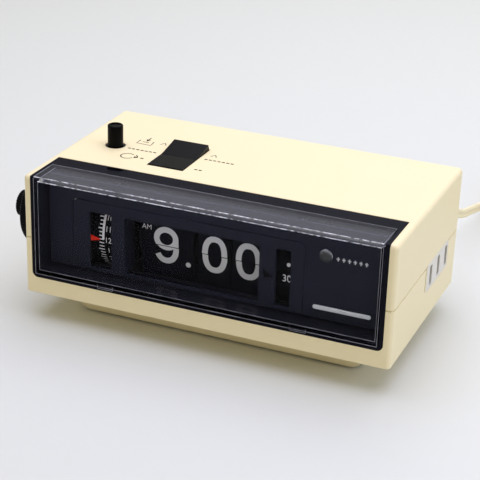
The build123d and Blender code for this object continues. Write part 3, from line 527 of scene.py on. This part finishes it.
def draw_zero(ink, x, z):
    """A zero from its left edge x and its foot z."""
    rx, rz = (DIGIT_W - STROKE) / 2, (DIGIT_H - STROKE) / 2
    ink.stroke(ring(x + DIGIT_W / 2, z + DIGIT_H / 2, rx, rz, 2.35), STROKE, closed=True)


def draw_nine(ink, x, z):
    """A nine: a bowl, the web beside its lower right, and a tail that curls under it."""
    middle, right, half = x + DIGIT_W / 2, x + DIGIT_W, STROKE / 2
    bowl_rx, bowl_rz, tail_r = DIGIT_W / 2 - half, 5.05, 8.0
    bowl_z = z + DIGIT_H - half - bowl_rz
    ink.stroke(ring(middle, bowl_z, bowl_rx, bowl_rz), STROKE, closed=True)
    rim = arc(middle, bowl_z, bowl_rx + half, bowl_rz + half, 0, -56, 6)
    for upper, lower in zip(rim, rim[1:]):
        ink.polygon(upper, (right, upper[1]), (right, lower[1]), lower)
    tail = [(right - half, rim[-1][1])]
    tail += arc(middle, z + tail_r, bowl_rx, tail_r - half, 0, -152, 20, 2.1)
    ink.stroke(tail, STROKE)


def draw_one(ink, x, z):
    """A one with a short flag, set in the middle of its place."""
    stem, top = x + DIGIT_W / 2 + 1.2, z + DIGIT_H
    ink.stroke([(stem, z), (stem, top)], STROKE)
    ink.polygon((stem - 1.5, top), (stem - 5.2, top - 3.6), (stem - 5.2, top - 6.2), (stem - 1.5, top - 4.0))


# The numerals that show now on each set of leaves and those that come next, each with its left edge.
LEAF_NUMERALS = {
    "hour": ([(draw_nine, -37.5)], [(draw_one, -40.5), (draw_zero, -31.0)]),
    "tens": ([(draw_zero, -10.2)], [(draw_one, -11.4)]),
    "units": ([(draw_zero, 8.5)], [(draw_one, 7.4)]),
}


def make_leaf_digits():
    """The numerals: each is printed half on the front leaf and half on the leaf that hangs below it.

    The next ones are on the back of the front leaf and on the leaf behind it.
    """
    upper, lower = SPLIT_Z + LEAF_SPLIT_GAP, SPLIT_Z - LEAF_SPLIT_GAP
    on_leaf, on_standing = upright(LEAF_FACE_Y - LEAF_INK), upright(STANDING_FACE_Y - LEAF_INK)
    for name, plan in LEAF_NUMERALS.items():
        current, following = Print(), Print()
        for ink, digits in zip((current, following), plan):
            for draw, x in digits:
                draw(ink, x, DIGIT_FOOT_Z)
            if name == "hour":
                ink.disc(*HOUR_DOT)
                ink.faces += letters(*MORNING_MARK).faces
        flap = f"{name}_flap"
        current.clipped(low=upper).lay(f"{name}_numeral_top", on_leaf, "numeral", flap)
        current.clipped(high=lower).lay(f"{name}_numeral_foot", on_standing, "numeral", "case")
        following.clipped(high=lower).lay(f"{name}_next_foot", flipped_back, "numeral", flap)
        following.clipped(low=upper).lay(f"{name}_next_top", on_standing, "numeral", "case")


# --- Drum prints ----------------------------------------------------------------------------------

# The alarm scale: its ticks, longer at the hours, the spine of the comb over half of them, and its numerals.
ALARM_NOON_Z = AXIS_Z - 0.8
HOUR_STEP = 2 * math.pi * BAND_R / 24
TICK_LEFT_X, SHORT_TICK_LEFT_X, TICK_RIGHT_X, TICK_HALF_H = -64.6, -63.9, -61.2, 0.3
COMB_X0, COMB_X1 = -62.2, -60.9
ALARM_NUMERAL_X, ALARM_NUMERAL_SIZE = -58.8, 4.4

TEN_SECONDS_STEP = 2 * math.pi * BAND_R / 6
SECONDS_NUMERAL_X, SECONDS_NUMERAL_SIZE, SECONDS_DOT_X = 40.3, 5.6, 40.8
DRUM_NUMERAL_STRETCH = 0.9


def make_alarm_band():
    """The alarm drum's scale: 24 hours round it, three ticks to the hour, with a comb over half of them."""
    ticks, numerals = Print(), Print()
    for k in range(-36, 36):
        z = ALARM_NOON_Z - k * HOUR_STEP / 3
        left = SHORT_TICK_LEFT_X if k % 3 else TICK_LEFT_X
        ticks.bar(left, z - TICK_HALF_H, TICK_RIGHT_X, z + TICK_HALF_H)
    ticks.bar(COMB_X0, ALARM_NOON_Z, COMB_X1, ALARM_NOON_Z + 12 * HOUR_STEP)
    for k in range(-12, 12):
        hour, z = (k + 11) % 12 + 1, ALARM_NOON_Z - k * HOUR_STEP - 1.6
        numeral = letters(str(hour), ALARM_NUMERAL_SIZE, ALARM_NUMERAL_X, z, DRUM_NUMERAL_STRETCH)
        numerals.faces += numeral.faces
    ticks.sliced().lay("alarm_scale", round_drum, "print_white", "alarm_train")
    numerals.sliced().lay("alarm_numerals", round_drum, "print_white", "alarm_train")


def make_seconds_band():
    """The seconds drum: numerals at every ten seconds, with dots between them."""
    ink = Print()
    for k in range(6):
        z = AXIS_Z - 3.6 - k * TEN_SECONDS_STEP
        text = f"{(30 + 10 * k) % 60:02d}"
        ink.faces += letters(text, SECONDS_NUMERAL_SIZE, SECONDS_NUMERAL_X, z, DRUM_NUMERAL_STRETCH).faces
        ink.disc(SECONDS_DOT_X, z + 9.2, 1.0)
    ink.sliced().lay("seconds_numerals", round_drum, "print_white", "seconds_train")


# --- Plain marks ----------------------------------------------------------------------------------

# Marks on the top, as (across, back) points: a turning arrow, a button over a tray, and two chevrons.
TOP_LINE_W = 0.6
TOP_LINES = [
    arc(-64.8, 48.1, 3.6, 3.6, 50, 340, 18),
    arc(-64.8, 48.1, 5.6, 3.8, -10, 50, 8),
    [(-69.2, 73.0), (-69.3, 67.9), (-60.7, 67.5), (-61.3, 73.0)],
    [(-67.2, 71.2), (-63.3, 71.0)],
    [(-65.4, 78.2), (-65.3, 73.6)],
    [(-56.7, 71.5), (-55.1, 74.5), (-53.5, 71.5)],
    [(-25.2, 67.2), (-23.6, 70.2), (-22.0, 67.2)],
]
TOP_ARROWHEADS = [
    [(-60.6, 46.4), (-58.6, 48.6), (-61.2, 49.2)],
    [(-66.6, 75.2), (-65.3, 72.2), (-64.1, 75.2)],
]

# Rows of dashes that stand in for words: the left front corner of each row, and its count.
DASH_ROWS = [(-69.9, 58.3, 7), (-26.5, 61.6, 7), (-25.2, 45.8, 2), (-57.2, 47.6, 1)]
DASH_W, DASH_H, DASH_STEP = 1.7, 1.1, 2.5

# Small crosses on the panel beside the lamp.
CROSSES, CROSS_STEP, PANEL_INK_Y = 6, 2.9, 11.96


def make_marks():
    """Generic marks where the real clock has words: symbols and dashes on top, crosses by the lamp."""
    top = Print()
    for path in TOP_LINES:
        top.stroke(path, TOP_LINE_W)
    for corners in TOP_ARROWHEADS:
        top.polygon(*corners)
    for x, y, count in DASH_ROWS:
        for k in range(count):
            left = x + DASH_STEP * k
            top.bar(left, y, left + DASH_W, y + DASH_H)
    top.lay("top_marks", on_top, "print_brown", "case")

    front = Print()
    for k in range(CROSSES):
        shift = CROSS_STEP * k
        front.stroke([(66.3 + shift, 62.6), (68.0 + shift, 62.6)], 0.55)
        front.stroke([(67.2 + shift, 61.4), (67.2 + shift, 63.6)], 0.5)
    front.lay("lamp_marks", upright(PANEL_INK_Y), "print_white", "case")


# --- Lens edges, painted highlights ---------------------------------------------------------------

# The lens is a box that is open behind: the outer faces, then the inner ones.
LENS_X, LENS_FRONT, LENS_BACK, LENS_TOP, LENS_FOOT = 93.2, -1.25, 18.7, 80.85, 27.0
INNER_X, INNER_FRONT, INNER_ROOF, INNER_FLOOR = 91.75, 0.5, 78.1, 28.8
LENS_CORNER = 0.6
TAB_X, TAB_HALF_W, TAB_Y, TAB_FOOT, TAB_TOP = 52.7, 4.2, -1.4, 26.2, 28.3
# Radii of the beads that carry the painted highlights along the lens edges.
HIGHLIGHT_BEAD_R, FAINT_HIGHLIGHT_BEAD_R = 0.24, 0.14


def lay_beads(name, material, radius, paths, closed=False):
    """Fine rounded beads along paths of case coordinates, as one piece on the case."""
    beads = bpy.data.curves.new(name, "CURVE")
    beads.dimensions = "3D"
    beads.bevel_depth = radius * MM
    beads.bevel_resolution = 2
    beads.use_fill_caps = not closed
    for path in paths:
        spline = beads.splines.new("POLY")
        spline.points.add(len(path) - 1)
        for point, place in zip(spline.points, path):
            point.co = (*at(*place), 1)
        spline.use_cyclic_u = closed
    beads.materials.append(materials[material])
    piece = show(name, beads)
    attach(piece, "case")
    return piece


def make_lens_edges():
    """Painted highlights where the lens's moulded edges catch the light: light grey beads along two edges at
    the top, and fainter ones elsewhere.
    """
    bright = [
        [(-INNER_X, INNER_FRONT, INNER_ROOF), (INNER_X, INNER_FRONT, INNER_ROOF)],
        [(-LENS_X, -LENS_CORNER, LENS_TOP), (LENS_X, -LENS_CORNER, LENS_TOP)],
    ]
    rim = [(-LENS_X, 0.0), (-LENS_X, LENS_BACK), (LENS_X, LENS_BACK), (LENS_X, 0.0)]
    soft = [
        [(-INNER_X, INNER_FRONT, INNER_FLOOR), (INNER_X, INNER_FRONT, INNER_FLOOR)],
        [(-LENS_X, LENS_FRONT, LENS_FOOT), (LENS_X, LENS_FRONT, LENS_FOOT)],
        [(x, y, LENS_TOP) for x, y in rim],
    ]
    for side in (-1, 1):
        outer, inner = side * LENS_X, side * INNER_X
        left, right = side * TAB_X - TAB_HALF_W, side * TAB_X + TAB_HALF_W
        tab = [(left, TAB_TOP), (left, TAB_FOOT), (right, TAB_FOOT), (right, TAB_TOP)]
        soft += [
            [(outer, LENS_FRONT, LENS_FOOT), (outer, LENS_FRONT, LENS_TOP - LENS_CORNER)],
            [(inner, INNER_FRONT, INNER_FLOOR), (inner, INNER_FRONT, INNER_ROOF)],
            [(inner, INNER_FRONT, INNER_ROOF), (inner, LENS_BACK, INNER_ROOF)],
            [(x, TAB_Y, z) for x, z in tab],
        ]
    # Beads coloured as painted highlights along the lens edges.
    lay_beads("lens_painted_highlights", "painted_glint", HIGHLIGHT_BEAD_R, bright)
    lay_beads("lens_faint_painted_highlights", "faint_painted_glint", FAINT_HIGHLIGHT_BEAD_R, soft)


# --- Knob rim -------------------------------------------------------------------------------------

RIDGES, RIDGE_X0, RIDGE_X1 = 96, 0.9, 4.1

# A ridge's section: its corners' turn, in shares of the pitch, and how far they stand out of the rim.
RIDGE_SECTION = [(-0.33, -0.12), (0.0, 0.2), (0.33, -0.12)]


def make_wheel_ridges():
    """Fine ridges round the time wheel."""
    low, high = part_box("time_knob")
    radius = (high[2] - low[2]) / 2
    centre_y, centre_z = (low[1] + high[1]) / 2, (low[2] + high[2]) / 2
    mesh = bpy.data.meshes.new("time_wheel_ridges")
    shape = bmesh.new()
    for k in range(RIDGES):
        corners = []
        for turn, reach in RIDGE_SECTION:
            angle = 2 * math.pi * (k + turn) / RIDGES
            r = radius + reach * MM
            corners.append((centre_y + r * math.cos(angle), centre_z + r * math.sin(angle)))
        near, far = ([shape.verts.new((low[0] + x * MM, *c)) for c in corners] for x in (RIDGE_X0, RIDGE_X1))
        shape.faces.new(near)
        shape.faces.new(far[::-1])
        for i in range(3):
            shape.faces.new((near[i], far[i], far[(i + 1) % 3], near[(i + 1) % 3]))
    bmesh.ops.recalc_face_normals(shape, faces=shape.faces)
    shape.to_mesh(mesh)
    shape.free()
    mesh.materials.append(materials["black_gloss"])
    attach(show("time_wheel_ridges", mesh), "time_setter")


# --- Mains lead -----------------------------------------------------------------------------------

EXIT = (86.0, 133.0, 41.0)
ROUTE = [
    EXIT,
    (86.0, 149.0, 41.0),
    (85.8, 165.0, 32.4),
    (85.4, 184.0, 24.4),
    (85.1, 206.0, 18.6),
    (85.0, 230.0, 12.0),
    (85.0, 250.0, 6.2),
    (85.0, 268.0, 2.85),
]

# The coil: its middle, the radius of its outer turn and the step between turns, in two layers.
COIL_X, COIL_Y, TURN_R, TURN_STEP = 121.3, 284.0, 36.3, 3.1
COIL_TURNS, POINTS_PER_TURN = 6.5, 16
COIL_LOW_Z, COIL_LAYER, CLIMB_TURNS = 2.85, 5.75, 0.5

# The plug, and one side of a grip rib from foot to top, as (inset, height).
PLUG_X, PLUG_BACK_Y, PLUG_HALF_W, PLUG_H = 157.6, 250.0, 11.0, 12.0
RIB_SIDE = [(0.0, 3.0), (0.0, PLUG_H - 3.0), (0.9, PLUG_H - 0.9), (2.6, PLUG_H)]
RIBS, FIRST_RIB, RIB_STEP = 6, 4.0, 2.6
TAIL = [
    (157.9, 267.0, 6.6),
    (PLUG_X, PLUG_BACK_Y, 6.0),
]

# The twist tie round the coil's turns: its place round the coil, and its loop as (radius, height).
TIE_ANGLE = math.radians(200)
TIE_IN, TIE_OUT, TIE_FOOT, TIE_TOP, TIE_CORNER = 22.6, 39.2, 0.6, 11.0, 1.5
TIE_LOOP = [
    (TIE_IN, TIE_CORNER),
    (TIE_IN, TIE_TOP - TIE_CORNER),
    (TIE_IN + TIE_CORNER, TIE_TOP),
    (TIE_OUT - TIE_CORNER, TIE_TOP),
    (TIE_OUT, TIE_TOP - TIE_CORNER),
    (TIE_OUT, TIE_CORNER),
    (TIE_OUT - TIE_CORNER, TIE_FOOT),
    (TIE_IN + TIE_CORNER, TIE_FOOT),
]


def coil_point(radius, angle, height):
    """A point at a radius and angle round the coil's middle."""
    return (COIL_X + radius * math.cos(angle), COIL_Y + radius * math.sin(angle), height)


def coil_points():
    """The coil's turns, from the outer turn at the left inwards along the bottom, then up and out again."""
    points = []
    for k in range(int(COIL_TURNS * POINTS_PER_TURN) + 1):
        turn = k / POINTS_PER_TURN
        inward = min(turn, COIL_TURNS - turn)
        rise = min(1, max(0, (turn - COIL_TURNS / 2) / CLIMB_TURNS + 0.5))
        height = COIL_LOW_Z + COIL_LAYER * rise * rise * (3 - 2 * rise)
        points.append(coil_point(TURN_R - TURN_STEP * inward, math.pi - 2 * math.pi * turn, height))
    return points


def make_cord_fittings():
    """The grip ribs of the plug, and the twist tie round the coil."""
    ribs = []
    for k in range(RIBS):
        y = PLUG_BACK_Y - FIRST_RIB - RIB_STEP * k
        left = [(PLUG_X - PLUG_HALF_W + inset, y, height) for inset, height in RIB_SIDE]
        right = [(PLUG_X + PLUG_HALF_W - inset, y, height) for inset, height in RIB_SIDE]
        ribs.append(left + right[::-1])
    tie = [coil_point(radius, TIE_ANGLE, height) for radius, height in TIE_LOOP]
    return [
        lay_beads("plug_grip", "vinyl", 0.55, ribs),
        lay_beads("coil_tie", "black_satin", 0.5, [tie], closed=True),
    ]


def make_lead_section():
    """The lead's section: two round cores side by side, with a groove between them."""
    core = CORD_T / 2
    lobe = [math.radians(a) for a in range(-60, 241, 30)]
    corners = [(core * math.cos(a), core + core * math.sin(a)) for a in lobe]
    corners += [(-across, -up) for across, up in corners]
    profile = bpy.data.curves.new("lead_section", "CURVE")
    profile.dimensions = "2D"
    outline = profile.splines.new("POLY")
    outline.points.add(len(corners) - 1)
    for point, (across, up) in zip(outline.points, corners):
        point.co = (across * MM, up * MM, 0, 1)
    outline.use_cyclic_u = True
    section = show("lead_section", profile)
    section.hide_render = True
    section.hide_viewport = True
    return section


def make_cord():
    """The flat two-core lead, as one line from the strain relief to the plug."""
    line = bpy.data.curves.new("mains_lead", "CURVE")
    line.dimensions = "3D"
    line.twist_mode = "Z_UP"
    line.bevel_mode = "OBJECT"
    line.bevel_object = make_lead_section()
    line.use_fill_caps = True
    line.resolution_u = 8
    line.materials.append(materials["vinyl"])
    route = ROUTE + coil_points() + TAIL
    spline = line.splines.new("NURBS")
    spline.points.add(len(route) - 1)
    for point, place in zip(spline.points, route):
        point.co = (*at(*place), 1)
    spline.order_u = 3
    spline.use_endpoint_u = True
    lead = show("mains_lead", line)
    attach(lead, "case")
    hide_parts("cord_tube", "cord_coil", "cord_tail")
    fittings = make_cord_fittings()


# --- Scene ----------------------------------------------------------------------------------------

materials = make_materials()
make_camera()
make_studio()
finish_nodes()
make_leaf_digits()
make_alarm_band()
make_seconds_band()
make_marks()
make_lens_edges()
make_wheel_ridges()
make_cord()
